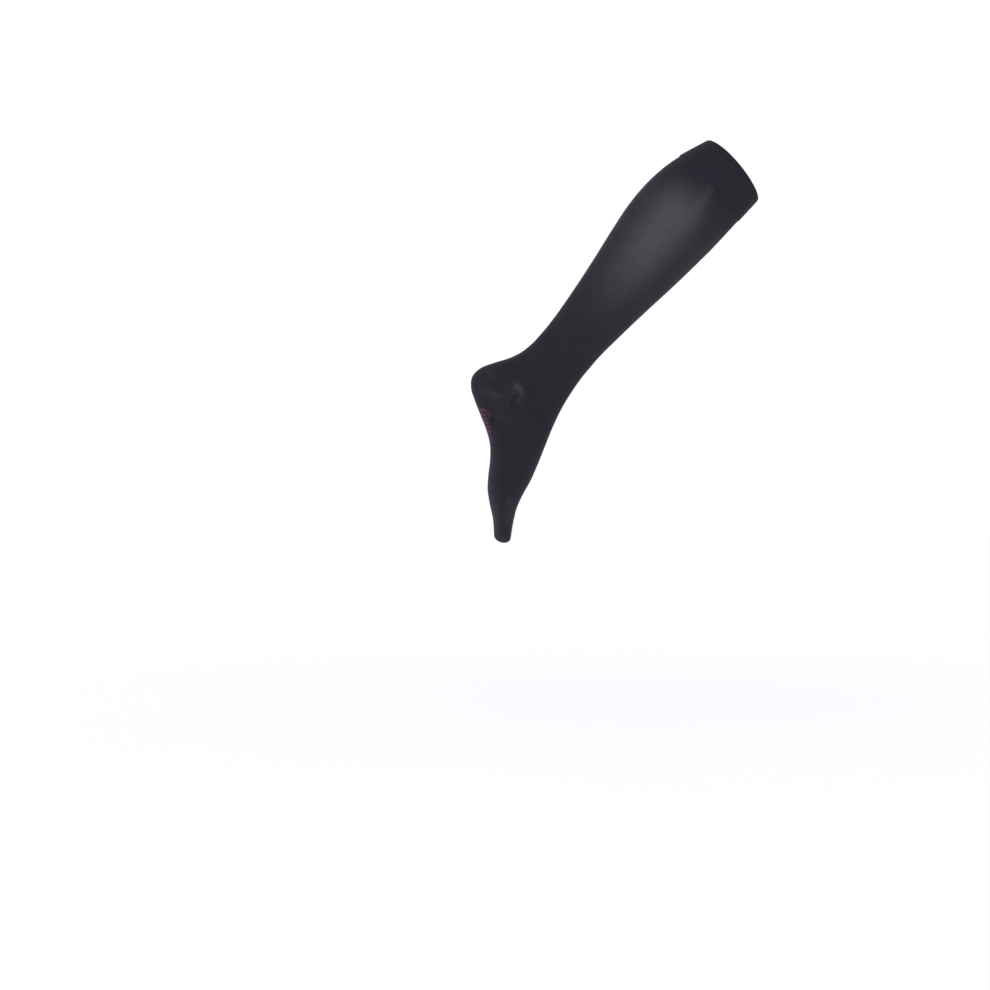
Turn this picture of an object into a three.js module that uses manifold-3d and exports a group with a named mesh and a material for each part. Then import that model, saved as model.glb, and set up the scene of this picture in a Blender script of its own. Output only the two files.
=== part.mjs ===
// Below-knee compression stocking, standing open in the shape of a general lower leg and foot.
// Millimetres, +Z up. The origin is the centre of the opening. The stocking is mirrored across
// the plane y = 0: its shin and instep face +X, its calf, heel and sole face -X.

import * as THREE from 'three';
import { mergeVertices } from 'three/addons/utils/BufferGeometryUtils.js';
import Module from 'manifold-3d';

const wasm = await Module();
wasm.setup();

// Limb line, in the plane y = 0
const LEG_TILT = 43; // degrees from vertical, the leg runs down towards -X
const ANKLE_BEND = 32.5; // degrees that the foot line turns back towards vertical
const LEG_LENGTH = 384; // opening to the ankle point, where the leg line and the foot line cross
const FOOT_LENGTH = 205.4; // ankle point to the tip of the toe
const ANKLE_RADIUS = 180; // the limb line rounds that corner with an arc

// Knitted sections, as distances down the limb line
const WELT_HEIGHT = 37.5;
const CALF_END = 205;
const SHANK_END = 398.5;
const FOOT_END = 527;
const HEEL_END = 470; // no part of the heel pocket reaches further down than this
const SEAM_GAP = 0.3;

// Cloth
const WELT_THICKNESS = 2.0;
const WELT_STEP = 1.0; // the welt stands out this far from the leg
const LEG_THICKNESS = 1.0;
const HEEL_THICKNESS = 1.4;
const TOE_THICKNESS = 1.4;

// Outside of the fabric at chosen courses: distance down the limb line, reach behind it, reach
// in front of it, full width, how much fuller the section is behind than in front, and how blunt
const COURSES = [
  { name: 'above the opening', down: -7, back: 49.3, front: 50.0, width: 95, full: 0.03, blunt: 0 },
  { name: 'below welt', down: 39, back: 63.8, front: 50.1, width: 102, full: 0.05, blunt: 0 },
  { name: 'upper calf', down: 60, back: 67.9, front: 50.1, width: 105, full: 0.06, blunt: 0 },
  { name: 'calf', down: 90, back: 70.2, front: 50.0, width: 108, full: 0.08, blunt: 0 },
  { name: 'lower calf', down: 125, back: 68.4, front: 48.6, width: 107, full: 0.08, blunt: 0 },
  { name: 'calf end', down: 165, back: 61.9, front: 46.2, width: 102, full: 0.08, blunt: 0 },
  { name: 'taper', down: 210, back: 53.3, front: 42.6, width: 91, full: 0.07, blunt: 0 },
  { name: 'lower leg', down: 260, back: 44.9, front: 39.4, width: 77, full: 0.06, blunt: 0.02 },
  { name: 'above ankle', down: 300, back: 39.5, front: 37.8, width: 66.5, full: 0.04, blunt: 0.05 },
  { name: 'ankle', down: 325, back: 37.6, front: 38.8, width: 61, full: 0.03, blunt: 0.08 },
  { name: 'over heel', down: 344, back: 38.2, front: 39.9, width: 58.5, full: 0.03, blunt: 0.12 },
  { name: 'heel rise', down: 358, back: 43.0, front: 40.3, width: 58, full: 0.04, blunt: 0.16 },
  { name: 'heel top', down: 370, back: 52.6, front: 40.2, width: 58.5, full: 0.06, blunt: 0.2 },
  { name: 'heel turn', down: 380, back: 65.2, front: 39.8, width: 59, full: 0.08, blunt: 0.24 },
  { name: 'heel', down: 390, back: 78.0, front: 39.2, width: 59.5, full: 0.1, blunt: 0.26 },
  { name: 'heel point', down: 400, back: 83.6, front: 38.4, width: 60, full: 0.12, blunt: 0.26 },
  { name: 'heel base', down: 409, back: 80.4, front: 37.5, width: 61, full: 0.12, blunt: 0.25 },
  { name: 'rear arch', down: 420, back: 70.2, front: 36.2, width: 62, full: 0.12, blunt: 0.23 },
  { name: 'arch', down: 432, back: 58.9, front: 34.2, width: 63.5, full: 0.12, blunt: 0.21 },
  { name: 'front arch', down: 446, back: 49.7, front: 31.3, width: 66, full: 0.12, blunt: 0.2 },
  { name: 'rear ball', down: 464, back: 40.8, front: 27.6, width: 70, full: 0.12, blunt: 0.2 },
  { name: 'ball', down: 484, back: 36.5, front: 23.3, width: 74.5, full: 0.12, blunt: 0.18 },
  { name: 'front ball', down: 504, back: 35.0, front: 18.2, width: 76.5, full: 0.12, blunt: 0.16 },
  { name: 'toe roots', down: 522, back: 32.6, front: 11.9, width: 75, full: 0.1, blunt: 0.14 },
  { name: 'toes', down: 540, back: 26.4, front: 7.4, width: 71, full: 0.08, blunt: 0.12 },
  { name: 'toe end', down: 557, back: 19.2, front: 6.2, width: 66, full: 0.05, blunt: 0.1 },
  { name: 'past the tip', down: 588, back: 12.0, front: 7.6, width: 58, full: 0.05, blunt: 0.1 },
];
const TOE_ROUNDING = 27; // length of the rounding of the toe, seen from the front
const TOE_BLUNTING = 7; // length of its rounding seen from the side

// The top courses lean: behind they stand this much higher up the leg, in front as much lower.
// The lower edge of the band also dips at both sides.
const OPENING_LEAN = 5.5;
const BAND_DIP = 8;
const LEAN_END = 115; // distance down where the courses are square to the leg again

// Heel pocket outline, measured from the ankle point: how far along the foot line, how far behind
const HEEL_POCKET = [
  { name: 'above the heel', past: -35, behind: 96 },
  { name: 'top edge', past: -13, behind: 64.8 },
  { name: 'top line', past: 2, behind: 41 },
  { name: 'gore tip', past: 13.5, behind: 19.5 },
  { name: 'pleat foot', past: 28.5, behind: 27.5 },
  { name: 'lower corner', past: 42.5, behind: 30 },
  { name: 'lower edge', past: 42, behind: 62 },
  { name: 'under the heel', past: 45, behind: 110 },
];

// Creases of the heel on both sides, along the same two measures: depth is positive for a trough
const HEEL_CREASES = [
  { name: 'gore pleat', past: [10, 32], behind: [18.5, 28], depth: 1.5, half: 7 },
  { name: 'pleat fold', past: [7, 24], behind: [8, 14], depth: -0.8, half: 7 },
  { name: 'heel ridge', past: [16, 24], behind: [69, 45], depth: -0.7, half: 7 },
];
const CREASE_END = 0.35; // share of its depth that a crease keeps at its two ends
const CREASE_SIDE = { none: 8, full: 22 }; // distances from the plane y = 0 where creases begin

// Fineness of the mesh
const AROUND = 40;
const LEG_STEP = 15;
const ANKLE_STEP = 6;
const FOOT_STEP = 10;
const TOE_STEP = 7;
const LEAST_STEP = 0.5;
const TIP_RINGS = 4;
const TIP_SHORTFALL = 0.35; // the last ring stays this share of a step away from the tip
const MERGE_DISTANCE = 1e-4;

// Small steps along the limb, round it in radians, and short of the tip, to measure slopes
const SLOPE_STEP = 0.5;
const SLOPE_TURN = 0.01;
const TIP_MARGIN = 0.02;

const PRISM_REACH = 120; // half length of the heel pocket's prism, well past both sides

const radians = THREE.MathUtils.degToRad;

// The same limb line as distances: leg, arc round the ankle, foot
const TANGENT = ANKLE_RADIUS * Math.tan(radians(ANKLE_BEND) / 2);
const ARC_START = LEG_LENGTH - TANGENT;
const ARC_END = ARC_START + ANKLE_RADIUS * radians(ANKLE_BEND);
const TIP = ARC_END + FOOT_LENGTH - TANGENT;

// Smooth rise from 0 at a to 1 at b
function smooth(x, a, b) {
  const t = Math.min(1, Math.max(0, (x - a) / (b - a)));
  return t * t * (3 - 2 * t);
}

// How far the limb line leans from vertical, in radians
function limbTilt(down) {
  const turned = Math.min(radians(ANKLE_BEND), Math.max(0, (down - ARC_START) / ANKLE_RADIUS));
  return radians(LEG_TILT) - turned;
}

// Direction down the limb line, and across it from the back of a course to its front
function limbDown(down) {
  const tilt = limbTilt(down);
  return new THREE.Vector3(-Math.sin(tilt), 0, -Math.cos(tilt));
}

function courseAcross(down) {
  const tilt = limbTilt(down);
  return new THREE.Vector3(Math.cos(tilt), 0, -Math.sin(tilt));
}

// A point of the limb line
function limbPoint(down) {
  const point = limbDown(0).multiplyScalar(Math.min(down, ARC_START));
  if (down > ARC_START) {
    point.addScaledVector(courseAcross(0), ANKLE_RADIUS);
    point.addScaledVector(courseAcross(down), -ANKLE_RADIUS);
  }
  if (down > ARC_END) {
    point.addScaledVector(limbDown(down), down - ARC_END);
  }
  return point;
}

// A point of the plane y = 0, measured from the ankle point along the foot line and behind it
const ankle = limbDown(0).multiplyScalar(LEG_LENGTH);
const footwards = limbDown(TIP);
const backwards = courseAcross(TIP).negate();

function anklePoint(past, behind) {
  return ankle.clone().addScaledVector(footwards, past).addScaledVector(backwards, behind);
}

// One measure of the courses at any distance down: a smooth curve through the table
function courseValue(column, down) {
  let i = 0;
  while (i < COURSES.length - 2 && COURSES[i + 1].down <= down) {
    i += 1;
  }
  const here = COURSES[i];
  const next = COURSES[i + 1];
  const slope = (a, b) => (b[column] - a[column]) / (b.down - a.down);
  const chord = slope(here, next);
  const tangent = (before, at, after) => {
    if (!before || !after) {
      return chord;
    }
    const near = at.down - before.down;
    const far = after.down - at.down;
    return (slope(before, at) * far + slope(at, after) * near) / (near + far);
  };
  const start = tangent(COURSES[i - 1], here, next);
  const end = tangent(here, next, COURSES[i + 2]);
  const length = next.down - here.down;
  const t = (down - here.down) / length;
  const rise = t * t * (3 - 2 * t);
  const bend = length * t * (1 - t) * ((1 - t) * start - t * end);
  return here[column] + (next[column] - here[column]) * rise + bend;
}

// Ellipse quarter: 1 before the rounding starts, 0 at the tip
function rounding(down, length) {
  const t = Math.max(0, (down - (TIP - length)) / length);
  return Math.sqrt(Math.max(0, 1 - t * t));
}

// Height of the heel's creases at a point of the side
function creaseHeight(point) {
  const from = point.clone().sub(ankle);
  const past = from.dot(footwards);
  const behind = from.dot(backwards);
  let height = 0;
  for (const crease of HEEL_CREASES) {
    const start = new THREE.Vector2(crease.past[0], crease.behind[0]);
    const run = new THREE.Vector2(crease.past[1], crease.behind[1]).sub(start);
    const offset = new THREE.Vector2(past, behind).sub(start);
    const t = Math.min(1, Math.max(0, offset.dot(run) / run.lengthSq()));
    const distance = offset.addScaledVector(run, -t).length();
    const taper = CREASE_END + (1 - CREASE_END) * Math.sin(Math.PI * t);
    height -= crease.depth * taper * (1 - smooth(distance, 0, crease.half));
  }
  return height;
}

// The outside of the fabric: a point of a course at an angle from the front
function outside(course, angle) {
  const lean = OPENING_LEAN * (1 - smooth(course, 0, LEAN_END));
  const dip = BAND_DIP * smooth(course, 0, WELT_HEIGHT) * (1 - smooth(course, WELT_HEIGHT, LEAN_END));
  const down = course + lean * Math.cos(angle) + dip * Math.sin(angle) ** 2;
  const back = courseValue('back', down);
  const front = courseValue('front', down);
  const depth = 0.5 * (front + back) * rounding(down, TOE_BLUNTING);
  const width = 0.5 * courseValue('width', down) * rounding(down, TOE_ROUNDING);
  const cosine = Math.cos(angle);
  const form = 1 - courseValue('full', down) * cosine + courseValue('blunt', down) * cosine ** 2;
  const point = limbPoint(down);
  point.addScaledVector(courseAcross(down), 0.5 * (front - back) + depth * cosine);
  point.y = width * Math.sin(angle) * form;
  const side = smooth(Math.abs(point.y), CREASE_SIDE.none, CREASE_SIDE.full);
  if (side > 0) {
    point.y += Math.sign(point.y) * side * creaseHeight(point);
  }
  return point;
}

// Outward direction at the same place, from small steps both ways
function outward(down, angle) {
  const low = Math.min(down + SLOPE_STEP, TIP - TIP_MARGIN);
  const high = low - 2 * SLOPE_STEP;
  const along = outside(low, angle).sub(outside(high, angle));
  const around = outside(down, angle + SLOPE_TURN).sub(outside(down, angle - SLOPE_TURN));
  return along.cross(around).normalize();
}

// Distances down for the rings of one section: even steps, closer round the ankle and the toe
function ringPlaces(from, to) {
  const zones = [
    { end: ARC_START, step: LEG_STEP },
    { end: ARC_END, step: ANKLE_STEP },
    { end: FOOT_END, step: FOOT_STEP },
    { end: TIP, step: TOE_STEP },
  ];
  const places = [from];
  let start = from;
  for (const { end, step } of zones) {
    const stop = Math.min(end, to);
    if (stop - start > LEAST_STEP) {
      const count = Math.max(1, Math.round((stop - start) / step));
      for (let i = 1; i <= count; i += 1) {
        places.push(start + (stop - start) * i / count);
      }
      start = stop;
    }
  }
  return places;
}

// One ring of points, moved out from the outside of the fabric along its outward direction
function ring(down, offset) {
  const points = [];
  for (let i = 0; i < AROUND; i += 1) {
    const angle = 2 * Math.PI * i / AROUND;
    points.push(outside(down, angle).addScaledVector(outward(down, angle), offset));
  }
  return points;
}

function geometryFrom(points, faces) {
  const places = points.flatMap((point) => point.toArray());
  const geometry = new THREE.BufferGeometry();
  geometry.setAttribute('position', new THREE.Float32BufferAttribute(places, 3));
  geometry.setIndex(faces);
  return geometry;
}

// Joins each ring of a closed run to the next, apart from one place that is left open
function ringFaces(count, openAfter = -1) {
  const faces = [];
  for (let row = 0; row < count; row += 1) {
    const here = row * AROUND;
    const next = ((row + 1) % count) * AROUND;
    for (let i = 0; i < AROUND && row !== openAfter; i += 1) {
      const j = (i + 1) % AROUND;
      faces.push(here + i, next + i, here + j);
      faces.push(here + j, next + i, next + j);
    }
  }
  return faces;
}

// Rings down the outside of the cloth, then back up its inside
function wallRings(places, thickness, proud = 0) {
  const outer = places.map((down) => ring(down, proud));
  const inner = places.map((down) => ring(down, proud - thickness)).reverse();
  return [...outer, ...inner];
}

// An open tube of cloth
function tube(from, to, thickness, proud = 0) {
  const rings = wallRings(ringPlaces(from, to), thickness, proud);
  return geometryFrom(rings.flat(), ringFaces(rings.length));
}

// The toe: its rings close on a point at the tip, outside and inside
function toeCap(from, thickness) {
  const places = ringPlaces(from, TIP - TOE_BLUNTING);
  for (let i = 1; i <= TIP_RINGS; i += 1) {
    const quarter = 0.5 * Math.PI * i / (TIP_RINGS + TIP_SHORTFALL);
    places.push(TIP - TOE_BLUNTING + TOE_BLUNTING * Math.sin(quarter));
  }
  const rings = wallRings(places, thickness);
  const lastOuter = places.length - 1;
  const faces = ringFaces(rings.length, lastOuter);
  const tipShift = 0.5 * (courseValue('front', TIP) - courseValue('back', TIP));
  const outerTip = limbPoint(TIP).addScaledVector(courseAcross(TIP), tipShift);
  const innerTip = outerTip.clone().addScaledVector(footwards, -thickness);
  const points = rings.flat();
  const outerPole = points.push(outerTip) - 1;
  const innerPole = points.push(innerTip) - 1;
  for (let i = 0; i < AROUND; i += 1) {
    const j = (i + 1) % AROUND;
    faces.push(lastOuter * AROUND + i, outerPole, lastOuter * AROUND + j);
    faces.push((lastOuter + 1) * AROUND + j, innerPole, (lastOuter + 1) * AROUND + i);
  }
  return geometryFrom(points, faces);
}

// Solid form of a closed geometry, for cuts
function toSolid(geometry) {
  const bare = geometry.clone();
  bare.deleteAttribute('normal');
  bare.deleteAttribute('uv');
  const merged = mergeVertices(bare, MERGE_DISTANCE);
  const mesh = new wasm.Mesh({
    numProp: 3,
    vertProperties: new Float32Array(merged.attributes.position.array),
    triVerts: new Uint32Array(merged.index.array),
  });
  return new wasm.Manifold(mesh);
}

function toGeometry(solid) {
  const mesh = solid.getMesh();
  const places = new THREE.BufferAttribute(new Float32Array(mesh.vertProperties), 3);
  const geometry = new THREE.BufferGeometry();
  geometry.setAttribute('position', places);
  geometry.setIndex(new THREE.BufferAttribute(new Uint32Array(mesh.triVerts), 1));
  return geometry;
}

// Prism across the whole stocking with the heel pocket's outline, grown by a margin
function heelPrism(margin) {
  const corners = HEEL_POCKET.map(({ past, behind }) => {
    const corner = anklePoint(past, behind);
    return new THREE.Vector2(corner.x, corner.z);
  });
  const grown = corners.map((corner, i) => {
    const before = corners[(i + corners.length - 1) % corners.length];
    const after = corners[(i + 1) % corners.length];
    const first = corner.clone().sub(before).normalize();
    const second = after.clone().sub(corner).normalize();
    const firstOut = new THREE.Vector2(-first.y, first.x);
    const secondOut = new THREE.Vector2(-second.y, second.x);
    const mitre = firstOut.add(secondOut).normalize();
    return corner.clone().addScaledVector(mitre, margin / mitre.dot(secondOut));
  });
  const settings = { depth: 2 * PRISM_REACH, bevelEnabled: false };
  const geometry = new THREE.ExtrudeGeometry(new THREE.Shape(grown), settings);
  geometry.translate(0, 0, -PRISM_REACH);
  geometry.rotateX(Math.PI / 2);
  return toSolid(geometry);
}

const pocket = heelPrism(0);
const pocketRoom = heelPrism(SEAM_GAP);

function withoutHeel(geometry) {
  return toGeometry(toSolid(geometry).subtract(pocketRoom));
}

function heelGeometry() {
  const around = tube(ARC_START, HEEL_END, HEEL_THICKNESS);
  return toGeometry(toSolid(around).intersect(pocket));
}

function knit(name, colour, roughness) {
  const material = new THREE.MeshStandardMaterial({ color: colour, roughness, metalness: 0 });
  material.name = name;
  return material;
}

const weltKnit = knit('welt_knit', 0x2a292f, 0.85);
const legKnit = knit('leg_knit', 0x3b3a40, 0.7);
const footKnit = knit('foot_knit', 0x2b2832, 0.75);
const denseKnit = knit('dense_knit', 0x2e2b33, 0.85);

const welt = tube(0, WELT_HEIGHT, WELT_THICKNESS, WELT_STEP);
const calf = tube(WELT_HEIGHT + SEAM_GAP, CALF_END, LEG_THICKNESS);
const shank = withoutHeel(tube(CALF_END + SEAM_GAP, SHANK_END, LEG_THICKNESS));
const foot = withoutHeel(tube(SHANK_END + SEAM_GAP, FOOT_END, LEG_THICKNESS));
const toe = toeCap(FOOT_END + SEAM_GAP, TOE_THICKNESS);

const pieces = [
  { name: 'welt', geometry: welt, material: weltKnit },
  { name: 'calf', geometry: calf, material: legKnit },
  { name: 'shank', geometry: shank, material: legKnit },
  { name: 'heel', geometry: heelGeometry(), material: denseKnit },
  { name: 'foot', geometry: foot, material: footKnit },
  { name: 'toe', geometry: toe, material: denseKnit },
];

const stocking = new THREE.Group();
for (const { name, geometry, material } of pieces) {
  const mesh = new THREE.Mesh(geometry, material);
  mesh.name = name;
  stocking.add(mesh);
}

export default stocking;
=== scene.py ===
# %% [markdown]
# Knee-high compression stocking
# The stocking is knitted in one piece: a doubled band, a graduated leg tube, a heel pocket, a foot
# tube and a toe cap. This lesson starts from the plain solids of a frame, which give the sizes,
# and dresses each of them with fine knitted cloth of the same form.

import math

import bmesh
import bpy
import numpy as np
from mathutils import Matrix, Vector


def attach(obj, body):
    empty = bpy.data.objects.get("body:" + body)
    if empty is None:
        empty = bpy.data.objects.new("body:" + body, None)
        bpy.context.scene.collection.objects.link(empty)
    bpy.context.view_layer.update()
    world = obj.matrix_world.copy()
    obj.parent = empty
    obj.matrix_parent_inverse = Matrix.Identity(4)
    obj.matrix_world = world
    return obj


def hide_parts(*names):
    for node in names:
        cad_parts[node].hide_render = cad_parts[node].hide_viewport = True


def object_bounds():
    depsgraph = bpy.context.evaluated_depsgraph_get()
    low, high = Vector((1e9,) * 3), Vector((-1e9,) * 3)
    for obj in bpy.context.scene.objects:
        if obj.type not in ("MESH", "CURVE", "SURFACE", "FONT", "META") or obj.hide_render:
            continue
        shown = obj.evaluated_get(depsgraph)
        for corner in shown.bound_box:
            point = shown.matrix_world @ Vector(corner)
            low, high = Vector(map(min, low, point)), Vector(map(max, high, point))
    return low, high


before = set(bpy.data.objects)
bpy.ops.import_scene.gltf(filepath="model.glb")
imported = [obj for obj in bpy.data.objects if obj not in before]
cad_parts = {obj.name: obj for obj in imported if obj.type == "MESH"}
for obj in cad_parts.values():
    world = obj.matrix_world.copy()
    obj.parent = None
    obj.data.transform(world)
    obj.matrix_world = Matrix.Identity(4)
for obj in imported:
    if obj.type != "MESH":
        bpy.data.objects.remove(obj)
CAD_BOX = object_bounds()
MM = 0.001
print("solids:", len(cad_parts), "box:", CAD_BOX)

# %% [markdown]
# The camera
# A garment is photographed from a few metres with a long lens, so that its outline isn't bent.
# The camera stands level with the middle of the stocking and looks at its outer side, turned a
# few degrees towards the sole. A target point and a distance say this more clearly than angles
# typed for each axis, so the camera is placed from those.

# %% Place the camera
VIEW_TURN = math.radians(-8.0)
VIEW_DISTANCE = 3.0
VIEW_TARGET = Vector((-0.30485, 0.04285, -0.4212))
IMAGE_PIXELS = 990
MILLIMETRES_PER_PIXEL = 1.30
SENSOR = 36.0


def place_camera():
    """Points a camera at the target and fits the frame's width to the wanted scale."""
    sight = Vector((-math.sin(VIEW_TURN), math.cos(VIEW_TURN), 0.0))
    camera = bpy.data.objects.new("camera", bpy.data.cameras.new("camera"))
    camera.location = VIEW_TARGET - sight * VIEW_DISTANCE
    camera.rotation_euler = sight.to_track_quat("-Z", "Y").to_euler()
    width_seen = IMAGE_PIXELS * MILLIMETRES_PER_PIXEL * MM
    camera.data.sensor_width = SENSOR
    camera.data.lens = SENSOR * VIEW_DISTANCE / width_seen
    bpy.context.scene.collection.objects.link(camera)
    bpy.context.scene.camera = camera
    return camera


camera = place_camera()
print("lens:", round(camera.data.lens, 1), "mm")

# %% [markdown]
# The form of the leg
# A knitted tube has courses, which run round it, and wales, which run down it. The form is given
# the same way: a line down the limb, and for chosen courses the reach behind that line, the reach
# in front of it and the full width. A smooth curve through that short table gives every course
# between. The measures are those of the solids, in millimetres.

# %% The limb line
LEG_TILT = math.radians(43)
ANKLE_BEND = math.radians(32.5)
LEG_LENGTH = 384
FOOT_LENGTH = 205.4
ANKLE_RADIUS = 180
TANGENT = ANKLE_RADIUS * math.tan(ANKLE_BEND / 2)
ARC_START = LEG_LENGTH - TANGENT
ARC_END = ARC_START + ANKLE_RADIUS * ANKLE_BEND
TIP = ARC_END + FOOT_LENGTH - TANGENT


def limb_directions(down):
    """Unit vectors down the limb line and across it, from back to front."""
    tilt = LEG_TILT - np.clip((down - ARC_START) / ANKLE_RADIUS, 0, ANKLE_BEND)
    zero = np.zeros_like(tilt)
    along = np.stack([-np.sin(tilt), zero, -np.cos(tilt)], axis=-1)
    across = np.stack([np.cos(tilt), zero, -np.sin(tilt)], axis=-1)
    return along, across


# the same two directions for the straight leg and for the straight foot
LEG_ALONG, LEG_ACROSS = (direction[0] for direction in limb_directions(np.zeros(1)))
FOOT_ALONG, FOOT_ACROSS = (direction[0] for direction in limb_directions(np.array([TIP])))


def limb_points(down):
    """Points of the limb line: leg, arc round the ankle, foot."""
    down = np.asarray(down, dtype=float)
    along, across = limb_directions(down)
    points = LEG_ALONG * np.minimum(down, ARC_START)[..., None]
    turned = (down > ARC_START)[..., None]
    points = points + np.where(turned, ANKLE_RADIUS * (LEG_ACROSS - across), 0)
    return points + along * np.maximum(0, down - ARC_END)[..., None]


print("tip of the toe:", round(TIP, 1), "mm down the limb line")

# %% The table of courses
COURSE_COLUMNS = ("down", "back", "front", "width", "full", "blunt")
COURSES = [
    ("above the opening", -7, 49.3, 50.0, 95, 0.03, 0),
    ("below welt", 39, 63.8, 50.1, 102, 0.05, 0),
    ("upper calf", 60, 67.9, 50.1, 105, 0.06, 0),
    ("calf", 90, 70.2, 50.0, 108, 0.08, 0),
    ("lower calf", 125, 68.4, 48.6, 107, 0.08, 0),
    ("calf end", 165, 61.9, 46.2, 102, 0.08, 0),
    ("taper", 210, 53.3, 42.6, 91, 0.07, 0),
    ("lower leg", 260, 44.9, 39.4, 77, 0.06, 0.02),
    ("above ankle", 300, 39.5, 37.8, 66.5, 0.04, 0.05),
    ("ankle", 325, 37.6, 38.8, 61, 0.03, 0.08),
    ("over heel", 344, 38.2, 39.9, 58.5, 0.03, 0.12),
    ("heel rise", 358, 43.0, 40.3, 58, 0.04, 0.16),
    ("heel top", 370, 52.6, 40.2, 58.5, 0.06, 0.2),
    ("heel turn", 380, 65.2, 39.8, 59, 0.08, 0.24),
    ("heel", 390, 78.0, 39.2, 59.5, 0.1, 0.26),
    ("heel point", 400, 83.6, 38.4, 60, 0.12, 0.26),
    ("heel base", 409, 80.4, 37.5, 61, 0.12, 0.25),
    ("rear arch", 420, 70.2, 36.2, 62, 0.12, 0.23),
    ("arch", 432, 58.9, 34.2, 63.5, 0.12, 0.21),
    ("front arch", 446, 49.7, 31.3, 66, 0.12, 0.2),
    ("rear ball", 464, 40.8, 27.6, 70, 0.12, 0.2),
    ("ball", 484, 36.5, 23.3, 74.5, 0.12, 0.18),
    ("front ball", 504, 35.0, 18.2, 76.5, 0.12, 0.16),
    ("toe roots", 522, 32.6, 11.9, 75, 0.1, 0.14),
    ("toes", 540, 26.4, 7.4, 71, 0.08, 0.12),
    ("toe end", 557, 19.2, 6.2, 66, 0.05, 0.1),
    ("past the tip", 588, 12.0, 7.6, 58, 0.05, 0.1),
]


def course_value(column, down):
    """One measure of the courses at any distances down, on a smooth curve through the table."""
    place = 1 + COURSE_COLUMNS.index(column)
    x = np.array([row[1] for row in COURSES], dtype=float)
    y = np.array([row[place] for row in COURSES], dtype=float)
    chords = np.diff(y) / np.diff(x)
    steps = np.diff(x)
    inner = (chords[:-1] * steps[1:] + chords[1:] * steps[:-1]) / (steps[:-1] + steps[1:])
    slopes = np.concatenate([chords[:1], inner, chords[-1:]])
    i = np.clip(np.searchsorted(x, down, side="right") - 1, 0, len(steps) - 1)
    t = (down - x[i]) / steps[i]
    rise = t * t * (3 - 2 * t)
    bend = steps[i] * t * (1 - t) * ((1 - t) * slopes[i] - t * slopes[i + 1])
    return y[i] + (y[i + 1] - y[i]) * rise + bend


print("courses in the table:", len(COURSES))

# %% Rounding and smooth rises
TOE_ROUNDING = 27  # length of the toe's rounding seen from the front
TOE_BLUNTING = 7  # and seen from the side


def smooth(x, a, b):
    """Smooth rise from 0 at a to 1 at b."""
    t = np.clip((x - a) / (b - a), 0, 1)
    return t * t * (3 - 2 * t)


def rounding(down, length):
    """Quarter of an ellipse: 1 where the toe's rounding starts, 0 at its tip."""
    t = np.clip((down - (TIP - length)) / length, 0, 1)
    return np.sqrt(1 - t * t)


print("rounding half way down the tip:", round(float(rounding(TIP - TOE_BLUNTING / 2, TOE_BLUNTING)), 2))

# %% [markdown]
# The heel's folds
# A knitted heel is a pocket: its rows are made shorter and shorter, then longer again, and they
# meet in a gore line on each side. Stretched over a heel, the cloth pulls at the end of that line
# into one short, sharp pleat, with a proud fold in front of it and a soft ridge over the heel.
# Sculpting by hand couldn't be repeated, so each fold is a route on the side of the heel with
# a depth and a width, and the cloth is moved by the sum of them.

# %% Folds of the heel
GORE_PLEAT = [(14.5, 20.3), (18.8, 23.9), (24, 26.9), (30.5, 28.4)]

# name, route by distance along the foot line and behind the ankle point, depth, half width
HEEL_FOLDS = [
    ("wide trough", [(10, 18.5), (32, 28)], 0.9, 7),
    ("gore pleat", GORE_PLEAT, 0.9, 1.4),
    ("proud fold", [(5, 25), (11, 18), (24, 17)], -0.7, 8),
    ("pulled fold", [(-6, 30), (4, 10), (6, -6)], -0.4, 7),
    ("heel ridge", [(17, 72), (19.5, 57), (23, 40)], -0.5, 6),
    ("lower hollow", [(33, 60), (35, 42)], 0.5, 5),
    ("gore line", [(-13, 64.8), (2, 41), (13.5, 19.5)], 0.2, 1.4),
    ("pocket line", [(43.5, 29.5), (43, 62)], 0.25, 1.2),
]
FOLD_END = 0.3  # share of its depth that a fold keeps at its two ends
FOLD_SIDE = (8, 22)  # distances from the middle of the heel where folds begin and are full


def ankle_measures(points):
    """How far points lie along the foot line and behind it, from the ankle point."""
    offset = points - LEG_ALONG * LEG_LENGTH
    return offset @ FOOT_ALONG, -(offset @ FOOT_ACROSS)


def route_distance(past, behind, route):
    """Distance to a route, and the share of its length at the nearest place."""
    spans = [math.dist(a, b) for a, b in zip(route, route[1:])]
    best = np.full(np.shape(past), np.inf)
    share = np.zeros(np.shape(past))
    done = 0.0
    for (a, b), span in zip(zip(route, route[1:]), spans):
        ux = (b[0] - a[0]) / span
        uy = (b[1] - a[1]) / span
        t = np.clip((past - a[0]) * ux + (behind - a[1]) * uy, 0, span)
        away = np.hypot(past - a[0] - t * ux, behind - a[1] - t * uy)
        nearer = away < best
        best = np.where(nearer, away, best)
        share = np.where(nearer, (done + t) / sum(spans), share)
        done += span
    return best, share


def fold_height(points):
    """Outward move of the cloth at the sides of the heel."""
    past, behind = ankle_measures(points)
    height = np.zeros(len(points))
    for _, route, depth, half in HEEL_FOLDS:
        away, share = route_distance(past, behind, route)
        taper = FOLD_END + (1 - FOLD_END) * np.sin(math.pi * share)
        height -= depth * taper * (1 - smooth(away, 0, half))
    return height


print("folds on each side of the heel:", len(HEEL_FOLDS))

# %% [markdown]
# The outside of the cloth
# The top courses aren't square to the leg tube: the band sits higher behind than in front, and its
# lower edge dips at both sides. A course is therefore a wavy line on the form and not a plain
# ring. Moving each point of a course down or up the limb line before the form is looked up gives
# this without a second table.

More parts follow.
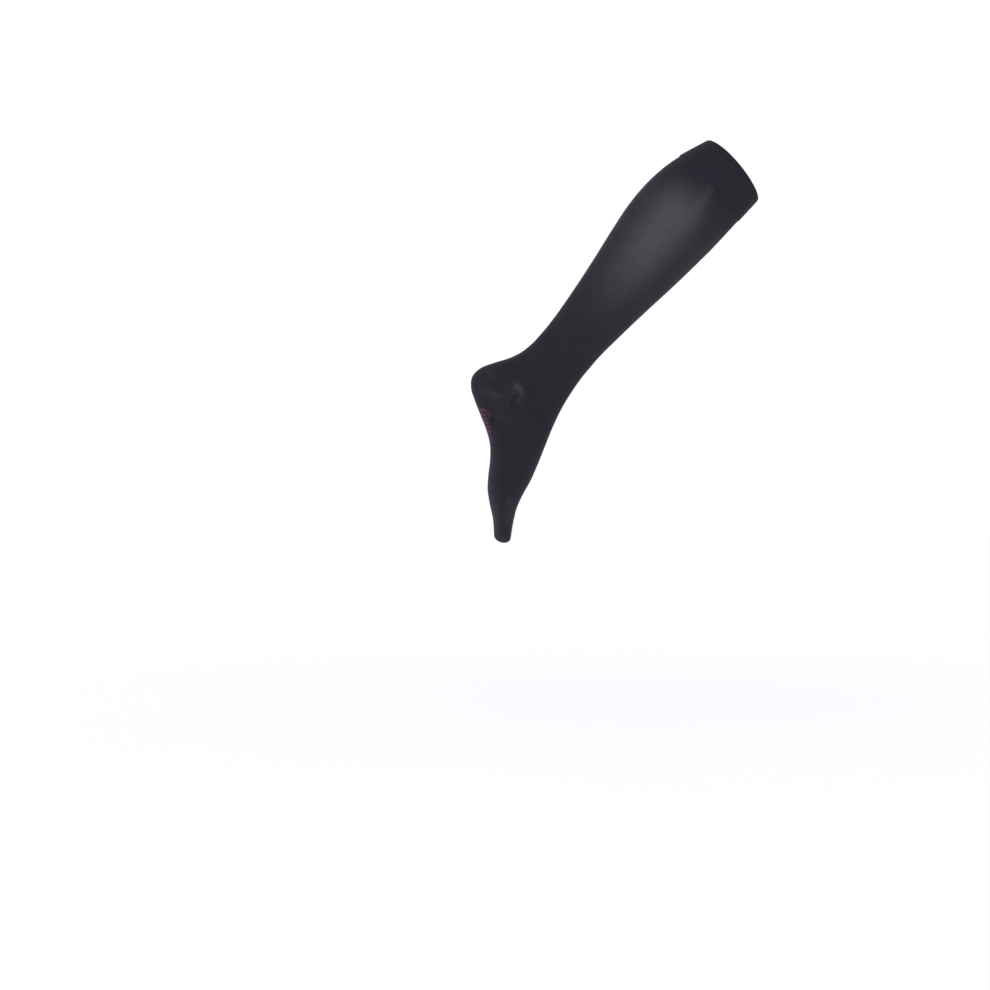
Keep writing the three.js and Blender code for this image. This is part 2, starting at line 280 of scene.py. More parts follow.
# %% One point of the cloth
WELT_HEIGHT = 37.5
OPENING_LEAN = 5.5
BAND_DIP = 8
LEAN_END = 115  # distance down where the courses are square to the leg again
SLOPE_STEP = 0.4
SLOPE_TURN = 0.01
TIP_MARGIN = 0.02


def outside(course, angle):
    """Outer surface of the cloth, in millimetres; the angle is 0 in front."""
    lean = OPENING_LEAN * (1 - smooth(course, 0, LEAN_END))
    dip = BAND_DIP * smooth(course, 0, WELT_HEIGHT) * (1 - smooth(course, WELT_HEIGHT, LEAN_END))
    down = course + lean * np.cos(angle) + dip * np.sin(angle) ** 2
    back = course_value("back", down)
    front = course_value("front", down)
    depth = 0.5 * (front + back) * rounding(down, TOE_BLUNTING)
    width = 0.5 * course_value("width", down) * rounding(down, TOE_ROUNDING)
    cosine = np.cos(angle)
    form = 1 - course_value("full", down) * cosine + course_value("blunt", down) * cosine**2
    across = limb_directions(down)[1]
    points = limb_points(down) + across * (0.5 * (front - back) + depth * cosine)[:, None]
    points[:, 1] = width * np.sin(angle) * form
    side = smooth(np.abs(points[:, 1]), *FOLD_SIDE)
    points[:, 1] += np.sign(points[:, 1]) * side * fold_height(points)
    return points


def outward(down, angle):
    """Outward direction of that surface, from small steps both ways."""
    low = np.minimum(down + SLOPE_STEP, TIP - TIP_MARGIN)
    high = low - 2 * SLOPE_STEP
    along = outside(low, angle) - outside(high, angle)
    around = outside(down, angle + SLOPE_TURN) - outside(down, angle - SLOPE_TURN)
    normal = np.cross(along, around)
    return normal / np.linalg.norm(normal, axis=1, keepdims=True)


quarters = outside(np.zeros(4), 0.5 * math.pi * np.arange(4))
print("opening, front to back:", round(math.dist(quarters[0], quarters[2]), 1), "mm")

# %% [markdown]
# Where the yarns are pulled apart, and painted highlights and shade
# Stretched hosiery looks lighter where its yarns part, on the full sides of the calf. The same value
# also paints light and shade into the colour: a broad painted highlight on the calf's sides, a
# painted highlight streak in front of the calf, painted highlights on the proud places of the heel
# and toe, and painted shade along the heel's pleat and lines. Painting that into an image would tie
# it to one mesh, so a short list of routes and rises gives each point of the cloth a stretch value,
# which the material reads later.

# %% How far the cloth is stretched, with its painted highlights and shade
LEAST_STRETCH = -0.04
LEG_RISE = (45, 110, 0.09)  # distances down where the cloth's tone starts to rise and is full, and how much it rises
CALF_RISE = (40, 100)
CALF_FALL = (130, 295)
CALF_STRETCH_AND_HIGHLIGHT_LEVELS = (0.03, 0.52)  # stretched yarn and painted highlight: all round the calf, and more on its full sides
HIGHLIGHT_BACK_FADE = (0.35, 1.0)
PATCH_SIDE = (10, 22)  # distances from the middle where the patches begin and are full

# the front edge of the painted highlight on the calf's full side, as the cosine of the angle round the
# leg, by distance down
HIGHLIGHT_FRONT_DOWN = (60, 110)
HIGHLIGHT_FRONT_EDGE = (0.45, 0.65)

# the painted highlight streak in front of the calf: its place as a cosine too, and how much lighter it
# is
STREAK_DOWN = (44.5, 46, 66, 92, 120)
STREAK_PLACE = (-0.05, -0.05, 0.06, 0.15, 0.23)
STREAK_HIGHLIGHT = (0.0, 0.18, 0.2, 0.07, 0.0)
STREAK_HALF = 0.2

# name, route by the same measures as the folds, change of stretch, half width; a rise is a painted
# highlight, a fall is painted shade along the pleat and the heel's lines
HIGHLIGHT_AND_SHADE_PATCHES = [
    ("behind the pleat", [(2, 29), (8, 23), (15, 15)], 0.12, 10),
    ("gore highlight", [(7, 24), (11, 19)], 0.45, 7.5),
    ("in front of the pleat", [(18, 16.5), (27, 19)], 0.2, 6.5),
    ("beside the pleat", [(16, 28), (22, 31)], 0.12, 4),
    ("heel ridge", [(18, 67), (20, 58), (23, 48)], 0.2, 6.5),
    ("under the ridge", [(25, 64), (28, 50)], 0.07, 7),
    ("ridge end", [(22, 48), (25, 34)], 0.06, 6),
    ("under the pocket, behind", [(47, 53), (49, 51)], 0.26, 5),
    ("under the pocket, in front", [(46, 44), (49, 34), (51, 28)], 0.1, 7),
    # the darker rows below are painted shade along the pleat, the pocket's lines and beside the ridge
    ("gore pleat", GORE_PLEAT, -0.5, 1.3),
    ("pocket line", [(40, 58), (42.5, 40.5), (44.8, 27.5)], -0.08, 1.6),
    ("above the ridge", [(15, 66), (18, 50), (19, 40)], -0.1, 1.4),
    ("pocket corner", [(51, 47), (58, 46.8)], -0.3, 1.8),
    ("heel top", [(-9, 66), (0, 58)], 0.12, 13),
    ("toe front", [(153, 8), (179, 5)], 0.15, 9),
]


def calf_stretch_and_highlight(down, cosine):
    """Lighter tone of the calf, a little all round it and more on its full sides: partly stretched yarn,
    partly a painted highlight.
    """
    share = smooth(down, *CALF_RISE) * (1 - smooth(down, *CALF_FALL))
    front_end = np.interp(down, HIGHLIGHT_FRONT_DOWN, HIGHLIGHT_FRONT_EDGE)
    full_side_highlight = (1 - smooth(cosine, 0, front_end)) * (1 - smooth(-cosine, *HIGHLIGHT_BACK_FADE))
    all_round, on_sides = CALF_STRETCH_AND_HIGHLIGHT_LEVELS
    return share * (all_round + on_sides * full_side_highlight)


def streak_highlight(down, cosine):
    """Painted highlight streak in front of the calf, added to the stretch value."""
    away = np.abs(cosine - np.interp(down, STREAK_DOWN, STREAK_PLACE))
    return np.interp(down, STREAK_DOWN, STREAK_HIGHLIGHT) * (1 - smooth(away, 0, STREAK_HALF))


def stretch_and_highlight_at(points, angle):
    """Stretch of the yarns, most on the sides of the calf and little elsewhere, with painted highlights
    on the calf, heel and toe and painted shade along the heel's pleat.
    """
    down = points @ LEG_ALONG
    cosine = np.cos(angle)
    start, end, amount = LEG_RISE
    stretch_and_highlight = LEAST_STRETCH + amount * smooth(down, start, end)
    stretch_and_highlight = stretch_and_highlight + calf_stretch_and_highlight(down, cosine) + streak_highlight(down, cosine)
    past, behind = ankle_measures(points)
    on_side = smooth(np.abs(points[:, 1]), *PATCH_SIDE)
    for _, route, change, half in HIGHLIGHT_AND_SHADE_PATCHES:
        away = route_distance(past, behind, route)[0]
        stretch_and_highlight += change * on_side * (1 - smooth(away, 0, half))
    return stretch_and_highlight


print("lighter and darker places by the heel and toe:", len(HIGHLIGHT_AND_SHADE_PATCHES))

# %% [markdown]
# From courses to cloth
# A tube of cloth is a grid: its rows of points follow the courses and its columns follow the
# wales, though there are fewer of both. Its texture coordinates say how far round and how far
# down a point lies, so stitches drawn in the material follow the knitting round the heel. A
# primitive cylinder would have to be bent into shape first, so the mesh is made from the points.

# %% Grids of knitted cloth
COLUMNS = 184


def new_piece(name, points, faces, uvs):
    """A mesh object in metres, with its knit coordinates."""
    mesh = bpy.data.meshes.new(name)
    mesh.from_pydata((points * MM).tolist(), [], faces)
    layer = mesh.uv_layers.new(name="knit")
    layer.data.foreach_set("uv", np.array(uvs, dtype=np.float32).ravel())
    for polygon in mesh.polygons:
        polygon.use_smooth = True
    piece = bpy.data.objects.new(name, mesh)
    bpy.context.scene.collection.objects.link(piece)
    return piece


def grid_faces(rows):
    """Faces between the rows, and the knit coordinates of their corners."""
    faces = []
    uvs = []
    for row in range(len(rows) - 1):
        top = rows[row][0] * MM
        bottom = rows[row + 1][0] * MM
        base = row * COLUMNS
        below = base + COLUMNS
        for i in range(COLUMNS):
            j = (i + 1) % COLUMNS
            left = i / COLUMNS
            right = (i + 1) / COLUMNS
            faces.append((base + i, below + i, below + j, base + j))
            uvs += [(left, top), (left, bottom), (right, bottom), (right, top)]
    return faces, uvs


def tip_faces(rows, pole):
    """Triangles from the last row to a point at the tip."""
    last = pole - COLUMNS
    low = rows[-1][0] * MM
    faces = []
    uvs = []
    for i in range(COLUMNS):
        faces.append((last + i, pole, last + (i + 1) % COLUMNS))
        uvs += [(i / COLUMNS, low), ((i + 0.5) / COLUMNS, TIP * MM), ((i + 1) / COLUMNS, low)]
    return faces, uvs


def knit_grid(name, rows, closed_tip=False):
    """A single layer of cloth through rows of (distance down, offset outwards)."""
    angle = 2 * math.pi * np.arange(COLUMNS) / COLUMNS
    layers = []
    for down, offset in rows:
        line = np.full(COLUMNS, float(down))
        layers.append(outside(line, angle) + outward(line, angle) * offset)
    points = np.concatenate(layers)
    angles = np.tile(angle, len(rows))
    faces, uvs = grid_faces(rows)
    if closed_tip:
        more_faces, more_uvs = tip_faces(rows, len(points))
        points = np.vstack([points, points[-COLUMNS:].mean(axis=0)])
        angles = np.append(angles, 0)
        faces += more_faces
        uvs += more_uvs
    piece = new_piece(name, points, faces, uvs)
    # the stretch value also holds the painted highlights of the calf, heel and toe and the painted shade
    # of the heel's pleat
    stretch_and_highlight = piece.data.attributes.new("stretch_and_highlight", "FLOAT", "POINT")
    stretch_and_highlight.data.foreach_set("value", stretch_and_highlight_at(points, angles).astype(np.float32))
    return piece


def even_rows(start, end, step, offset=0.0):
    """Rows at even steps, about as far apart as asked."""
    count = max(2, round((end - start) / step))
    return [(start + (end - start) * i / count, offset) for i in range(count + 1)]


print("columns round each tube:", COLUMNS)

# %% [markdown]
# Cutting the heel pocket
# The heel is its own piece, because its yarn is doubled. Its outline is a short polygon on the
# side of the foot, cut straight through both sides. Each side of the polygon bisects the mesh, so
# the cut edges lie exactly on the line, and then the faces within or without are deleted. That
# keeps the texture coordinates, which a boolean on a thick mesh can disturb.

# %% The heel pocket's outline
# name, distance along the foot line, distance behind the ankle point
HEEL_CORNERS = [
    ("above the heel", -35, 96),
    ("top edge", -13, 64.8),
    ("top line", 2, 41),
    ("gore tip", 13.5, 19.5),
    ("pleat foot", 28.5, 27.5),
    ("lower corner", 42.5, 30),
    ("lower edge", 42, 62),
    ("under the heel", 45, 110),
]
HEEL_SIDES = [
    (start[1:], end[1:])
    for start, end in zip(HEEL_CORNERS, HEEL_CORNERS[1:] + HEEL_CORNERS[:1])
]
HEEL_MIDDLE = (15, 60)
HEEL_REACH = 0.085  # metres from that middle within which faces are cut
CUT_TOLERANCE = 1e-6


def side_point(past, behind):
    """A point of the middle plane from its two measures, in metres."""
    return Vector((LEG_ALONG * LEG_LENGTH + FOOT_ALONG * past - FOOT_ACROSS * behind) * MM)


def inside_pocket(past, behind):
    """Whether a point of the side lies within the outline: it counts the sides it crosses."""
    inside = False
    for (ax, ay), (bx, by) in HEEL_SIDES:
        if (ay > behind) != (by > behind):
            if past < (bx - ax) * (behind - ay) / (by - ay) + ax:
                inside = not inside
    return inside


print("corners of the heel pocket:", len(HEEL_CORNERS))


# %% Cut by the outline
def bisect_along(bm, start, end):
    """Splits the faces near the heel along one side of its outline."""
    middle = side_point(*HEEL_MIDDLE)
    near = [face for face in bm.faces if (face.calc_center_median() - middle).length < HEEL_REACH]
    edges = {edge for face in near for edge in face.edges}
    points = {vert for face in near for vert in face.verts}
    run = FOOT_ALONG * (end[0] - start[0]) - FOOT_ACROSS * (end[1] - start[1])
    bmesh.ops.bisect_plane(
        bm,
        geom=[*near, *edges, *points],
        dist=CUT_TOLERANCE,
        plane_co=side_point(*start),
        plane_no=Vector(np.cross(run, (0, 1, 0))).normalized(),
    )


def cut_at_pocket(piece, keep_inside):
    """Cuts a piece along the heel pocket's outline and keeps one of the two parts."""
    bm = bmesh.new()
    bm.from_mesh(piece.data)
    for start, end in HEEL_SIDES:
        bisect_along(bm, start, end)
    doomed = []
    for face in bm.faces:
        past, behind = ankle_measures(np.array(face.calc_center_median()) / MM)
        if inside_pocket(past, behind) != keep_inside:
            doomed.append(face)
    bmesh.ops.delete(bm, geom=doomed, context="FACES")
    bm.to_mesh(piece.data)
    bm.free()
    print(piece.name, "faces cut away:", len(doomed))


# %% [markdown]
# The thickness of the cloth
# Knitted cloth is a thin wall, and at the opening and the seams its edge can be seen. The Solidify
# modifier gives the single layer its thickness, inwards, with a rim round the cut edges. It is
# applied at once, so the mesh itself holds the thickness that shows.

# %% Give the cloth its thickness
SHARP_ANGLE = math.radians(40)


def solidify(piece, thickness):
    """Gives a single layer of cloth its thickness, inwards."""
    modifier = piece.modifiers.new("thickness", "SOLIDIFY")
    modifier.thickness = thickness * MM
    modifier.offset = -1
    modifier.use_even_offset = True
    modifier.use_rim = True
    depsgraph = bpy.context.evaluated_depsgraph_get()
    solid = bpy.data.meshes.new_from_object(piece.evaluated_get(depsgraph))
    piece.modifiers.clear()
    piece.data = solid
    for polygon in solid.polygons:
        polygon.use_smooth = True
    solid.set_sharp_from_angle(angle=SHARP_ANGLE)


def dressed(piece, material, thickness):
    """Finishes a piece: its thickness and its one material."""
    solidify(piece, thickness)
    piece.data.materials.clear()
    piece.data.materials.append(material)
    print(piece.name, "faces:", len(piece.data.polygons))
    return piece


# %% [markdown]
# The knitted finish
# Fine hosiery reads as a soft matt surface with a broad glow, and only close up as rows of small
# V stitches. The stitches are a bump pattern counted in wales and courses. Where the cloth is
# stretched the yarns part, so it looks lighter and a little speckled. The stretch value on the
# mesh says how far, and it also carries the painted highlights of the calf, heel and toe and the
# painted shade of the heel's pleat, so that the light tone stays on the calf from every side.

# %% Node helpers
class Nodes:
    """Adds nodes to a material and joins them."""

    def __init__(self, material):
        material.use_nodes = True
        self.tree = material.node_tree
        self.tree.nodes.clear()

    def add(self, kind, **values):
        node = self.tree.nodes.new(kind)
        for name, value in values.items():
            setattr(node, name, value)
        return node

    def join(self, source, target):
        self.tree.links.new(source, target)

    def math(self, operation, *terms):
        node = self.add("ShaderNodeMath", operation=operation)
        for place, term in enumerate(terms):
            if isinstance(term, (int, float)):
                node.inputs[place].default_value = term
            else:
                self.join(term, node.inputs[place])
        return node.outputs[0]

    def mix(self, factor, first, second):
        node = self.add("ShaderNodeMix", data_type="RGBA")
        self.join(factor, node.inputs["Factor"])
        for name, value in (("A", first), ("B", second)):
            socket = [s for s in node.inputs if s.name == name and s.type == "RGBA"][0]
            if isinstance(value, tuple):
                socket.default_value = (*value, 1.0)
            else:
                self.join(value, socket)
        return [s for s in node.outputs if s.type == "RGBA"][0]

    def noise(self, place, scale, detail):
        """A noise centred on zero."""
        node = self.add("ShaderNodeTexNoise")
        node.inputs["Scale"].default_value = scale
        node.inputs["Detail"].default_value = detail
        self.join(place, node.inputs["Vector"])
        return self.math("SUBTRACT", node.outputs["Fac"], 0.5)

    def knit_place(self):
        """How far round the tube, in turns, and how far down it, in metres."""
        place = self.add("ShaderNodeUVMap", uv_map="knit")
        split = self.add("ShaderNodeSeparateXYZ")
        self.join(place.outputs[0], split.inputs[0])
        return split.outputs[0], split.outputs[1]

    def from_middle(self, value):
        """Distance of a count from the middle of its cell."""
        return self.math("ABSOLUTE", self.math("SUBTRACT", self.math("FRACT", value), 0.5))


def linear(red, green, blue):
    """A display colour, 0 to 255, as the linear values that a shader takes."""
    return tuple(
        c / 255 / 12.92 if c / 255 <= 0.04045 else ((c / 255 + 0.055) / 1.055) ** 2.4
        for c in (red, green, blue)
    )


print("half grey as linear:", [round(value, 3) for value in linear(128, 128, 128)])

# %% [markdown]
# Stitches
# One V stitch is two short slanted threads that meet in the middle of a wale. Across a wale the
# height falls off to each side, and the slant shifts the courses by the distance from the middle.
# Cosines of the wale and course counts give this with a handful of maths nodes, at any scale. A
# modelled stitch would need millions of faces on a whole stocking.

# %% Height of the stitches
NEEDLES = 260
LEG_PITCH = 0.00085
DENSE_PITCH = 0.00095
SLANT = 0.55
THREAD_SHARE = 0.6  # how much of the height follows the threads, the rest follows the wales


def wave(nodes, value):
    """A cosine of whole turns, between 0 and 1."""
    turned = nodes.math("COSINE", nodes.math("MULTIPLY", value, 2 * math.pi))
    return nodes.math("MULTIPLY_ADD", turned, 0.5, 0.5)


def stitch_height(nodes, pitch):
    """Height of the knit, 0 to 1, from the place round and down the tube."""
    turns, down = nodes.knit_place()
    across = nodes.from_middle(nodes.math("MULTIPLY", turns, float(NEEDLES)))
    courses = nodes.math("MULTIPLY", down, 1 / pitch)
    thread = wave(nodes, nodes.math("MULTIPLY_ADD", across, SLANT * 2, courses))
    leg = wave(nodes, nodes.math("SUBTRACT", across, 0.25))
    threads = nodes.math("MULTIPLY", thread, leg)
    wales = nodes.math("MULTIPLY", leg, 1 - THREAD_SHARE)
    return nodes.math("MULTIPLY_ADD", threads, THREAD_SHARE, wales)


print("stitches round the leg:", NEEDLES)

# %% [markdown]
# The yarn's colour and shine
# The yarn is dark charcoal, matt with a faint bluish glow at grazing angles. Its tone runs from
# dark to light with the stretch value, so the painted highlights and shade held in that value show
# in the colour, and two noises break it up: a fine one for the uneven yarn
# and a broad one for the uneven knitting. The roughness follows the same values a little, and the
# other sockets of the shader have one value each.

# %% The knit material
FINE_NOISE = (420.0, 2.0)  # scale and detail
BROAD_NOISE = (28.0, 3.0)
SPECKLE = 0.5
SPECKLE_BY_STRETCH = 2.3
SPECKLE_EVERYWHERE = 0.2
DRIFT = 0.18
STITCH_TONE = 0.22
STITCH_MIDDLE = 0.45
ROUGH_SPECKLE = 0.12
STRETCH_SHINE = -0.6
STITCH_DEPTH = 0.0003
YARN_SOCKETS = {
    "IOR": 1.25,
    "Specular IOR Level": 0.3,
    "Sheen Weight": 0.045,
    "Sheen Roughness": 0.35,
    "Sheen Tint": (0.8, 0.8, 1.0, 1.0),
}


def yarn_tone(nodes, stretch_and_highlight, fine, broad, height):
    """Place of the yarn between its dark and its light colour, 0 to 1."""
    spread = nodes.math("MULTIPLY_ADD", stretch_and_highlight, SPECKLE_BY_STRETCH, SPECKLE_EVERYWHERE)
    spread = nodes.math("MULTIPLY", spread, SPECKLE)
    tone = nodes.math("MULTIPLY_ADD", fine, spread, stretch_and_highlight)
    tone = nodes.math("MULTIPLY_ADD", broad, DRIFT, tone)
    raised = nodes.math("SUBTRACT", height, STITCH_MIDDLE)
    tone = nodes.math("MULTIPLY_ADD", raised, STITCH_TONE, tone)
    clamp = nodes.add("ShaderNodeClamp")
    nodes.join(tone, clamp.inputs[0])
    return clamp.outputs[0]


def knit_material(name, dark, light, roughness, bump, pitch):
    """A knitted finish between two colours; it also gives its nodes, shader and colour."""
    material = bpy.data.materials.new(name)
    nodes = Nodes(material)
    shader = nodes.add("ShaderNodeBsdfPrincipled")
    output = nodes.add("ShaderNodeOutputMaterial")
    nodes.join(shader.outputs[0], output.inputs[0])

    # the stretch value brings the painted highlights and shade into the colour
    stretch_and_highlight = nodes.add("ShaderNodeAttribute", attribute_name="stretch_and_highlight").outputs["Fac"]
    place = nodes.add("ShaderNodeTexCoord").outputs["Object"]
    fine = nodes.noise(place, *FINE_NOISE)
    broad = nodes.noise(place, *BROAD_NOISE)
    height = stitch_height(nodes, pitch)
    colour = nodes.mix(yarn_tone(nodes, stretch_and_highlight, fine, broad, height), dark, light)
    nodes.join(colour, shader.inputs["Base Color"])

    rough = nodes.math("MULTIPLY_ADD", fine, ROUGH_SPECKLE, roughness)
    rough = nodes.math("MULTIPLY_ADD", stretch_and_highlight, STRETCH_SHINE, rough)
    nodes.join(rough, shader.inputs["Roughness"])
    for socket, value in YARN_SOCKETS.items():
        shader.inputs[socket].default_value = value

    relief = nodes.add("ShaderNodeBump")
    relief.inputs["Strength"].default_value = bump
    relief.inputs["Distance"].default_value = STITCH_DEPTH
    nodes.join(height, relief.inputs["Height"])
    nodes.join(relief.outputs[0], shader.inputs["Normal"])
    return material, nodes, shader, colour


# %% Finish of the welt, heel and toe
welt_knit = knit_material(
    "welt_knit",
    dark=linear(35, 34, 41),
    light=linear(54, 53, 59),
    roughness=0.86,
    bump=0.15,
    pitch=DENSE_PITCH,
)[0]
dense_knit = knit_material(
    "dense_knit",
    dark=linear(37, 34, 42),
    light=linear(68, 66, 72),
    roughness=0.84,
    bump=0.25,
    pitch=DENSE_PITCH,
)[0]
print("finishes:", welt_knit.name, dense_knit.name)

# %% [markdown]
# The marks on the sole
# A band of small coloured marks is knitted into the middle of the sole, just in front of the heel.
# Here they are plain lozenges, in a wedge that narrows towards the toe. They are part of the cloth,
# so they are drawn in the tube's material, measured round and down the sole, and aren't laid on
# top as a separate piece. A lozenge is shown if the middle of its cell lies within the wedge.

# %% The material of the leg and foot
MARKS_FROM = 0.4245
MARKS_LENGTH = 0.0405
MARK_PITCH = 0.0045
WEDGE_START = 0.017
WEDGE_END = 0.009
SOLE_GIRTH = 0.205
LOZENGE_SIZE = 0.47
MARK_COLOUR = linear(102, 50, 77)


def within_wedge(nodes, across, along):
    """1 in the cells of the sole whose middle lies in the wedge, otherwise 0."""
    cell_across = nodes.math("ABSOLUTE", nodes.math("ADD", nodes.math("FLOOR", across), 0.5))
    cell_along = nodes.math("ADD", nodes.math("FLOOR", along), 0.5)
    narrowing = (WEDGE_END - WEDGE_START) / MARKS_LENGTH
    wedge = nodes.math("MULTIPLY_ADD", cell_along, narrowing, WEDGE_START / MARK_PITCH)
    narrow_enough = nodes.math("LESS_THAN", cell_across, wedge)
    after = nodes.math("GREATER_THAN", cell_along, 0.0)
    before = nodes.math("LESS_THAN", cell_along, MARKS_LENGTH / MARK_PITCH)
    return nodes.math("MULTIPLY", narrow_enough, nodes.math("MULTIPLY", after, before))


def tube_material():
    """The leg's knit, with the coloured marks on its sole."""
    material, nodes, shader, colour = knit_material(
        "leg_knit",
        dark=linear(35, 32, 40),
        light=linear(68, 67, 71),
        roughness=0.84,
        bump=0.25,
        pitch=LEG_PITCH,
    )
    turns, down = nodes.knit_place()
    from_sole = nodes.math("SUBTRACT", turns, 0.5)
    across = nodes.math("MULTIPLY", from_sole, SOLE_GIRTH / MARK_PITCH)
    along = nodes.math("DIVIDE", nodes.math("SUBTRACT", down, MARKS_FROM), MARK_PITCH)
    reach = nodes.math("ADD", nodes.from_middle(across), nodes.from_middle(along))
    lozenge = nodes.math("LESS_THAN", reach, LOZENGE_SIZE)
    shown = nodes.math("MULTIPLY", lozenge, within_wedge(nodes, across, along))
    marked = nodes.mix(shown, colour, MARK_COLOUR)
    nodes.join(marked, shader.inputs["Base Color"])
    return material


tube_knit = tube_material()
print("rows of marks on the sole:", round(MARKS_LENGTH / MARK_PITCH))

# %% [markdown]
# The welt
# The band at the top is knitted double and turned over, so its upper edge is a soft round fold and
# its lower edge is a small step down to the leg. A closed profile, out over the fold, down the
# outside, under the edge and up the inside, is carried round the opening like a lathe's. A bevel
# on a plain ring would round the edges too, but this profile also follows the band's lean and dip.

# %% Make the welt
FOLD_RADIUS = 1.0
FOLD_STEPS = 8
EDGE_ROUNDING = 0.95
EDGE_STEPS = 4
EDGE_MARGIN = 0.8  # the even rows of the outside stay this far from the fold and the edge
WELT_ROW = 1.2
INNER_ROW = 3.0
MERGE_DISTANCE = 1e-7


def welt_profile():
    """Rows of the band: over the fold, down the outside, under the edge, up the inside."""
    rows = []
    for i in range(FOLD_STEPS + 1):
        turn = math.pi * (i / FOLD_STEPS - 0.5)
        rows.append((FOLD_RADIUS - FOLD_RADIUS * math.cos(turn), FOLD_RADIUS * math.sin(turn)))
    edge = WELT_HEIGHT - EDGE_ROUNDING
    rows += even_rows(FOLD_RADIUS + EDGE_MARGIN, edge - EDGE_MARGIN, WELT_ROW, FOLD_RADIUS)
    for i in range(EDGE_STEPS + 1):
        turn = 0.5 * math.pi * i / EDGE_STEPS
        offset = FOLD_RADIUS - EDGE_ROUNDING + EDGE_ROUNDING * math.cos(turn)
        rows.append((edge + EDGE_ROUNDING * math.sin(turn), offset))
    rows.append((WELT_HEIGHT, -FOLD_RADIUS))
    rows += even_rows(WELT_HEIGHT - 1, FOLD_RADIUS + 1, INNER_ROW, -FOLD_RADIUS)
    rows.append(rows[0])
    return rows


def merge_points(piece):
    """Joins the points where the closed profile meets itself."""
    bm = bmesh.new()
    bm.from_mesh(piece.data)
    bmesh.ops.remove_doubles(bm, verts=bm.verts, dist=MERGE_DISTANCE)
    bm.to_mesh(piece.data)
    bm.free()


welt = knit_grid("welt_band", welt_profile())
merge_points(welt)
welt.data.materials.append(welt_knit)
print("welt faces:", len(welt.data.polygons))

# %% [markdown]
# Leg and foot, heel and toe
# The tube runs without a seam from under the welt to the toe cap. Its rows are closer round the
# ankle, because that is where the cloth bends most. The heel is cut out of the same form as the
# tube around it, so the two meet in one smooth surface.

# %% Make the leg and foot
FOOT_END = 527.0
TUCK = 0.1  # the tube starts this far under the welt
LEG_ROW = 3.0
ANKLE_ROW = 1.2
FOOT_ROW = 2.0
LEG_THICKNESS = 1.0

tube_rows = even_rows(WELT_HEIGHT - TUCK, ARC_START, LEG_ROW)[:-1]
tube_rows += even_rows(ARC_START, ARC_END, ANKLE_ROW)[:-1]
tube_rows += even_rows(ARC_END, FOOT_END, FOOT_ROW)
tube = knit_grid("leg_and_foot", tube_rows)
cut_at_pocket(tube, keep_inside=False)
dressed(tube, tube_knit, LEG_THICKNESS)

# %% Make the heel
HEEL_END = 470  # the heel pocket ends well before this
HEEL_THICKNESS = 1.4

heel = knit_grid("heel_pocket", even_rows(ARC_START, HEEL_END, ANKLE_ROW))
cut_at_pocket(heel, keep_inside=True)
dressed(heel, dense_knit, HEEL_THICKNESS)

# %% Make the toe
TOE_ROW = 1.5
TIP_ROWS = 12
TIP_SHORTFALL = 0.6  # the last row stays this share of a step away from the tip
TOE_THICKNESS = 1.4

toe_rows = even_rows(FOOT_END, TIP - TOE_BLUNTING, TOE_ROW)
for i in range(1, TIP_ROWS + 1):
    quarter = 0.5 * math.pi * i / (TIP_ROWS + TIP_SHORTFALL)
    toe_rows.append((TIP - TOE_BLUNTING + TOE_BLUNTING * math.sin(quarter), 0.0))
toe = knit_grid("toe_cap", toe_rows, closed_tip=True)
dressed(toe, dense_knit, TOE_THICKNESS)

# %% [markdown]
# What each piece stands for
# Every piece rides on the one body and replaces the plain solid of its place, which is hidden.
# Each is a sheet of cloth.

# piece, its slot, the solids that it replaces
DECLARED = [
    (welt, "welt_knit", ("welt",)),
    (tube, "leg_knit", ("calf", "shank", "foot")),
    (heel, "dense_knit", ("heel",)),
    (toe, "dense_knit", ("toe",)),
]

for piece, slot, solids in DECLARED:
    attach(piece, "root")
    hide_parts(*solids)

# %% [markdown]
# The floor
# A pale floor below the stocking and a white sky fill the picture with soft light from all sides,
# as in a light tent. The floor lies well below the toe, so no shadow touches the cloth. A curved
# backdrop would do the same, but a plain square is enough at this distance.

# %% Build the floor and the sky
FLOOR_DROP = 0.2
FLOOR_HALF = 12
SKY_COLOUR = (1.0, 1.0, 1.06, 1)
SKY_STRENGTH = 1.0


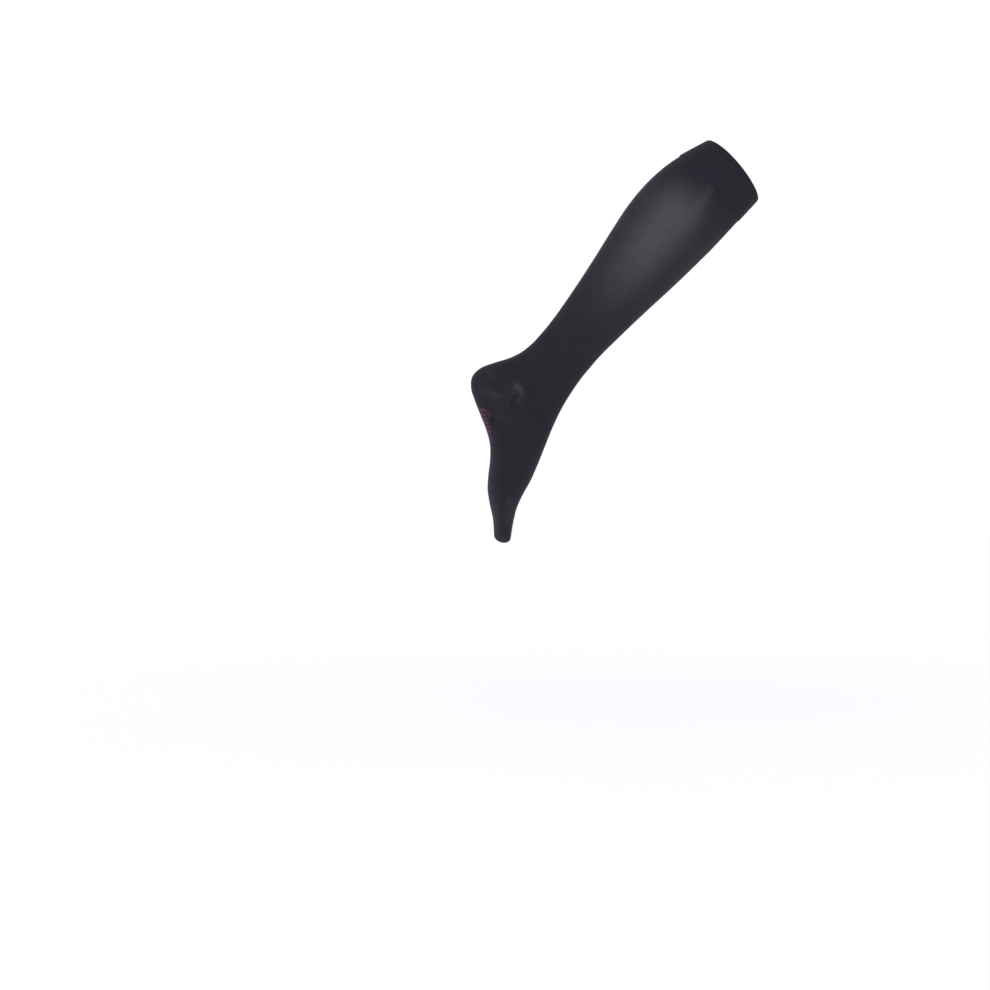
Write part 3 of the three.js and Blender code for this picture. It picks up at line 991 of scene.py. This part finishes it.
def make_floor():
    """A large pale square below the stocking."""
    level = CAD_BOX[0][2] - FLOOR_DROP
    signs = ((-1, -1), (1, -1), (1, 1), (-1, 1))
    corners = [(x * FLOOR_HALF, y * FLOOR_HALF, level) for x, y in signs]
    mesh = bpy.data.meshes.new("floor")
    mesh.from_pydata(corners, [], [(0, 1, 2, 3)])
    paint = bpy.data.materials.new("pale_floor")
    nodes = Nodes(paint)
    shader = nodes.add("ShaderNodeBsdfPrincipled")
    output = nodes.add("ShaderNodeOutputMaterial")
    nodes.join(shader.outputs[0], output.inputs[0])
    shader.inputs["Base Color"].default_value = (1, 1, 1, 1)
    shader.inputs["Roughness"].default_value = 1.0
    mesh.materials.append(paint)
    floor = bpy.data.objects.new("floor", mesh)
    bpy.context.scene.collection.objects.link(floor)
    return floor


make_floor()

world = bpy.data.worlds.new("studio")
bpy.context.scene.world = world
world.use_nodes = True
background = world.node_tree.nodes["Background"]
background.inputs[0].default_value = SKY_COLOUR
background.inputs[1].default_value = SKY_STRENGTH
bpy.context.scene.view_settings.view_transform = "Standard"
print("floor:", round(FLOOR_DROP, 2), "m below the toe")

# %% [markdown]
# The lamps
# In that even light a dark knit would look flat. A soft lamp beside the camera lays a pool of
# light on the middle of the calf, and a second one lights the other side in the same way, so the
# calf looks round from there too. Each lamp has a grid: a narrow spread that keeps its light off
# the ankle and foot, which a bare lamp would also brighten.

# %% Place the lamps
CALF_MIDDLE = Vector((-0.1023, 0.0, -0.1097))
LAMP_DISTANCE = 1.3
LAMP_SIZE = 0.2
LAMP_POWER = 0.06
LAMP_SPREAD = math.radians(14)

# name, direction from the calf to the lamp
LAMPS = [
    ("key", (-0.16, -0.95, 0.06)),
    ("far_side", (0.40, 0.88, 0.27)),
]


def area_lamp(name, direction):
    """A round soft box with a grid, aimed at the middle of the calf."""
    data = bpy.data.lights.new(name, "AREA")
    data.shape = "DISK"
    data.size = LAMP_SIZE
    data.energy = LAMP_POWER
    data.spread = LAMP_SPREAD
    place = CALF_MIDDLE + Vector(direction).normalized() * LAMP_DISTANCE
    lamp = bpy.data.objects.new(name, data)
    lamp.location = place
    lamp.rotation_euler = (CALF_MIDDLE - place).to_track_quat("-Z", "Y").to_euler()
    bpy.context.scene.collection.objects.link(lamp)


for name, direction in LAMPS:
    area_lamp(name, direction)
print("lamps:", len(LAMPS))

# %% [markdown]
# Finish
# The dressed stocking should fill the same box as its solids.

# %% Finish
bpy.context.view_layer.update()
